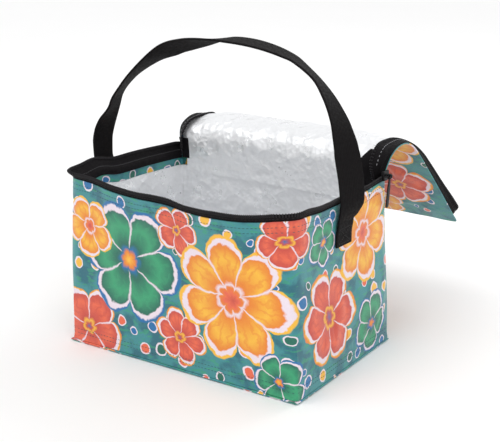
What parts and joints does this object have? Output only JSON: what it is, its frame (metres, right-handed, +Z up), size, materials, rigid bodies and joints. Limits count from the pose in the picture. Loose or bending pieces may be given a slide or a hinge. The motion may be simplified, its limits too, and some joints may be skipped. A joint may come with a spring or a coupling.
{
  "type": "drink holder",
  "caption": "Soft insulated drink carrier: a rectangular padded bag with a zip lid folded back and a webbing carry handle over the top.",
  "frame": {"origin": "middle of the base, on the surface that the bag stands on", "axes": "+X along the bag's long side, towards the side where the zip slider is parked; +Y towards the back, where the lid is hinged; +Z up"},
  "size_m": [0.2569, 0.2884, 0.2539],
  "materials": {
    "printed_cloth": "printed satin polyester",
    "black_webbing": "woven polypropylene webbing",
    "black_tape": "woven zip tape with a nylon coil",
    "padding_foam": "closed cell foam",
    "foil_lining": "crinkled silver foil film",
    "zip_metal": "black enamel"
  },
  "bodies": {
    "tub": {"outer_wrap": "printed_cloth", "back_panel": "printed_cloth", "wall_foam": "padding_foam", "wall_lining": "foil_lining", "rim_facing": "printed_cloth", "rim_zip_tape": "black_tape", "rim_zip_coil": "black_tape", "base_seam": "printed_cloth", "base_skin": "printed_cloth", "base_foam": "padding_foam", "base_lining": "foil_lining", "zip_end_left": "black_tape", "zip_end_right": "black_tape", "handle_end_left": "black_webbing", "handle_end_right": "black_webbing"},
    "lid_fold": {"lid_fold_skin": "printed_cloth", "lid_fold_lining": "foil_lining", "fold_zip_tape_left": "black_tape", "fold_zip_tape_right": "black_tape", "fold_zip_coil_left": "black_tape", "fold_zip_coil_right": "black_tape"},
    "lid_panel": {"lid_skin": "printed_cloth", "lid_foam": "padding_foam", "lid_lining": "foil_lining", "lid_facing": "printed_cloth", "lid_zip_tape": "black_tape", "lid_zip_coil": "black_tape", "lid_seam": "printed_cloth"},
    "handle": {"handle_left": "black_webbing", "handle_crown": "black_webbing", "handle_right": "black_webbing"},
    "slider": {"zip_slider": "zip_metal"},
    "pull": {"zip_pull": "zip_metal"}
  },
  "joints": [
    {"name": "lid_hinge", "type": "hinge", "parent": "tub", "child": "lid_fold", "pos_m": [0, 0.07022, 0.1583], "axis": [1, 0, 0], "range_deg": [0, 167.8], "deforming": ["handle_crown"]},
    {"name": "lid_crease", "type": "hinge", "parent": "lid_fold", "child": "lid_panel", "pos_m": [0, 0.10267, 0.16532], "axis": [1, 0, 0], "range_deg": [0, 57]},
    {"name": "handle_swing", "type": "hinge", "parent": "tub", "child": "handle", "pos_m": [0, -0.0025, 0.118], "axis": [-1, 0, 0], "range_deg": [-60, 30]},
    {"name": "zip_slide", "type": "slide", "parent": "tub", "child": "slider", "axis": [0, -1, 0], "range_m": [0, 0.025]},
    {"name": "pull_swing", "type": "hinge", "parent": "slider", "child": "pull", "pos_m": [0.11546, 0.0595, 0.145], "axis": [0, -1, 0], "range_deg": [0, 110]}
  ],
  "couplings": [
    {"joint": "lid_crease", "follows": "lid_hinge", "ratio": 0.33969}
  ]
}
